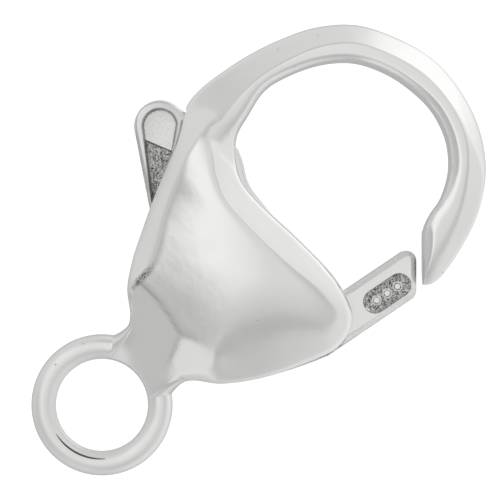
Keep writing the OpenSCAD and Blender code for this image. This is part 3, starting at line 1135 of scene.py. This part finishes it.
def metal(name, colour, tarnish_and_shade, haze):
    """Metal with a soft haze, pits, rough cast grain where marked, tarnish in its hollows, and painted shade
    in crevices and on faces marked for it.
    """
    material = bpy.data.materials.new(name)
    tree = empty_tree(material)
    place = add_node(tree, "TexCoord", output="Object")
    where = add_node(tree, "VectorMath", {0: place, "Scale": 1 / MM}, operation="SCALE")
    fine, coarse, wave = (
        add_node(tree, "TexNoise", {"Vector": where, "Scale": 1 / size, "Detail": detail})
        for size, detail in ((FINE_GRIT, 6.0), (COARSE_GRIT, 4.0), (POLISH_WAVE, 4.0))
    )
    grain, patina_and_shade, crevice_shade = (
        add_node(tree, "Attribute", output="Fac", attribute_name=mark)
        for mark in ("grain", "patina_and_shade", "crevice_shade")
    )
    x, y, z = add_node(tree, "SeparateXYZ", [where]).node.outputs

    away = add_node(tree, "VectorMath", (where, STREAK_AT), operation="SUBTRACT")
    away = add_node(tree, "VectorMath", (away, STREAK_SIZE), operation="DIVIDE")
    away = add_node(tree, "VectorMath", [away], output="Value", operation="LENGTH")
    dark_streak = add_node(tree, "MapRange", (away, *STREAK_FADE), **SOFT_STEP)
    cells = add_node(tree, "TexVoronoi", {"Vector": where, "Scale": 1 / PIT_SPACING})
    pit = add_node(tree, "MapRange", (cells, *PIT_EDGES, 1.0, 0.0), **SOFT_STEP)
    rubbed = through_steps(tree, "MULTIPLY", 1.0, (
        (y, *RUBBED_Y), (x, *RUBBED_X), (z, *RUBBED_Z), (grain, *RUBBED_GRAIN),
    ))

    # Tarnish with its painted shade, and the dark streak, are blotched by the grit.
    dark = add_node(tree, "Math", (patina_and_shade, dark_streak), operation="ADD")
    dark = through_steps(tree, "MULTIPLY", dark, ((fine, *FINE_BLOTCH), (coarse, *COARSE_BLOTCH)))
    # Crevices take painted shade here, mixed towards the tarnish colour.
    dark = weighted_sum(tree, ((dark, 1), (crevice_shade, CREVICE_DARK), (rubbed, 1), (pit, PIT_DARK)))
    dark = add_node(tree, "Clamp", [dark])
    tone = add_node(
        tree, "Mix", {"Factor": dark, "A": linear(colour), "B": linear(tarnish_and_shade)},
        output="Result", data_type="RGBA",
    )

    # The haze varies with the polish, and the eye's wire is less polished than the body.
    rough = through_steps(tree, "ADD", 0.0, ((wave, *HAZE_NOISE, *haze), (x, *EYE_HAZE_X)))
    rough = weighted_sum(tree, ((rough, 1), (grain, GRAIN_ROUGH), (dark, TARNISH_ROUGH)))

    gritty = add_node(tree, "Math", (fine, coarse), operation="ADD")
    gritty = add_node(tree, "Math", (gritty, grain), operation="MULTIPLY")
    streak_and_crevice_grit = add_node(tree, "Math", (dark_streak, crevice_shade), operation="ADD")
    streak_and_crevice_grit = add_node(tree, "Math", (streak_and_crevice_grit, fine), operation="MULTIPLY")
    height = weighted_sum(tree, (
        (gritty, GRIT_HEIGHT), (streak_and_crevice_grit, STREAK_AND_CREVICE_GRIT_HEIGHT), (wave, WAVE_HEIGHT), (pit, -PIT_DEPTH),
    ))
    bump = add_node(tree, "Bump", {"Height": height, "Distance": MM})
    shader = add_node(tree, "BsdfPrincipled", {
        "Base Color": tone, "Metallic": 1.0, "Roughness": rough, "Normal": bump,
    })
    add_node(tree, "OutputMaterial", {"Surface": shader})
    return material


def dress(piece, material):
    piece.data.materials.clear()
    piece.data.materials.append(material)


WHITE = (1, 1, 1, 1)
FLOOR_Z = -HALF_DEPTH
FLOOR_R = 400
FLOOR_X = 6
FLOOR_SEGMENTS = 96
FLOOR_GLOW = 0.62


def build_floor():
    """Matt white paper, which glows a little so that it stays white in the render."""
    bpy.ops.mesh.primitive_circle_add(
        vertices=FLOOR_SEGMENTS, radius=FLOOR_R * MM, fill_type="NGON",
        location=(FLOOR_X * MM, 0, FLOOR_Z * MM),
    )
    floor = name_new("floor")
    material = bpy.data.materials.new("white_paper")
    tree = empty_tree(material)
    shader = add_node(tree, "BsdfPrincipled", {
        "Base Color": linear("F0F0F0"), "Roughness": 0.9,
        "Emission Color": WHITE, "Emission Strength": FLOOR_GLOW,
    })
    add_node(tree, "OutputMaterial", {"Surface": shader})
    floor.data.materials.append(material)
    floor.visible_glossy = False


# The photo is turned so that the hook points up and right.
VIEW_TURN = math.radians(45)
ROOM_LEVEL = 0.485


def build_light():
    """A pale room: a soft light overhead, walls that are brighter at one side, and a small lamp."""
    world = bpy.data.worlds.new("pale_room")
    bpy.context.scene.world = world
    tree = empty_tree(world)
    way = add_node(tree, "TexCoord", output="Generated")
    turned = add_node(
        tree, "VectorRotate", {"Vector": way, "Angle": VIEW_TURN}, rotation_type="Z_AXIS",
    )
    # The way that light comes from, as the photo has it: rightwards, upwards and overhead.
    right, up, high = add_node(tree, "SeparateXYZ", [turned]).node.outputs
    slanted = weighted_sum(tree, ((right, 1), (up, 0.6)))
    ceiling = through_steps(tree, "MULTIPLY", 1.0, (
        (slanted, -0.72, -0.46, 0, 1), (right, 0.4, 0.95, 1, 0), (right, -0.5, 0.25, 1, 0.52),
        (up, -0.8, -0.15, 0, 1), (up, 0.55, 0.85, 1, 0), (high, 0.3, 0.6, 0, 0.46),
    ))
    walls = through_steps(tree, "ADD", 0.0, (
        (right, -0.1, 0.6, 0.0, 0.2), (up, -0.3, 0.7, 0.0, 0.07), (high, 0.3, 0.05, 0.055, 0.16),
    ))
    bright_side = through_steps(tree, "MULTIPLY", 1.0, (
        (right, 0.2, 0.5, 0, 0.17), (up, 0.2, 0.55, 0, 1), (high, 0.2, 0.05, 0, 1),
    ))
    walls = add_node(tree, "Math", (walls, bright_side), operation="ADD")
    walls = through_steps(tree, "MULTIPLY", walls, [(high, 0.60, 0.46, 0, 1)])
    lamp = through_steps(tree, "MULTIPLY", 1.0, (
        (right, -0.62, -0.45, 0, 1), (right, -0.25, -0.1, 1, 0), (up, -0.56, -0.68, 0, 0.22),
        (high, 0.0, 0.15, 0, 1),
    ))
    light = weighted_sum(tree, ((ceiling, 1), (walls, 1), (lamp, 1), (ROOM_LEVEL, 1)))
    light = through_steps(tree, "MULTIPLY", light, [(high, -0.1, -0.95, 1.0, 0.7)])
    background = add_node(tree, "Background", {"Color": WHITE, "Strength": light})
    add_node(tree, "OutputWorld", {"Surface": background})


# The photo looks straight down on the side face.
VIEW_MIDDLE = (6.21, 0.14)
VIEW_BREADTH = 14.5
CAMERA_HEIGHT = 90
SENSOR = 36
# The camera sees what is between these distances.
SEES_FROM = 1
SEES_TO = 10000


def build_camera():
    """A long lens straight above the clasp."""
    camera = bpy.data.cameras.new("camera")
    camera.sensor_width = SENSOR
    camera.lens = SENSOR * CAMERA_HEIGHT / VIEW_BREADTH
    camera.clip_start = SEES_FROM * MM
    camera.clip_end = SEES_TO * MM
    holder = bpy.data.objects.new("camera", camera)
    holder.location = Vector((*VIEW_MIDDLE, CAMERA_HEIGHT)) * MM
    holder.rotation_euler = (0, 0, -VIEW_TURN)
    bpy.context.scene.collection.objects.link(holder)
    bpy.context.scene.camera = holder
    bpy.context.scene.view_settings.view_transform = "Standard"


# Cast silver with a hand polish: white, softly sharp reflections, grey where it is tarnished or painted with
# shade.
silver = metal("polished_cast_silver", "F6F6F5", "4F4C49", (0.12, 0.19))
# Drawn silver wire is a little brighter and has a finer haze.
drawn = metal("drawn_silver_wire", "F4F4F2", "4F4C49", (0.10, 0.14))
# Spring strip is greyer and duller than the silver.
steel = metal("spring_steel_strip", "A5A6A8", "3C3B3A", (0.24, 0.32))

body = build_body()
dress(body, silver)
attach(body, "clasp")
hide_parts("clasp_body")

lever = build_lever()
dress(lever, silver)
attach(lever, "gate_lever")
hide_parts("lever")

pin = build_pin()
dress(pin, drawn)
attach(pin, "clasp")
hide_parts("pivot_pin")

spring = build_spring()
dress(spring, steel)
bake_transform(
    spring, "clasp", "gate_lever",
    start=((SPRING_X + SPRING_T) * MM, 0, 0), end=((SPRING_X + 2 * SPRING_BEND_R + 0.35) * MM, 0, 0),
)
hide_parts("return_spring")

build_floor()
build_light()
build_camera()
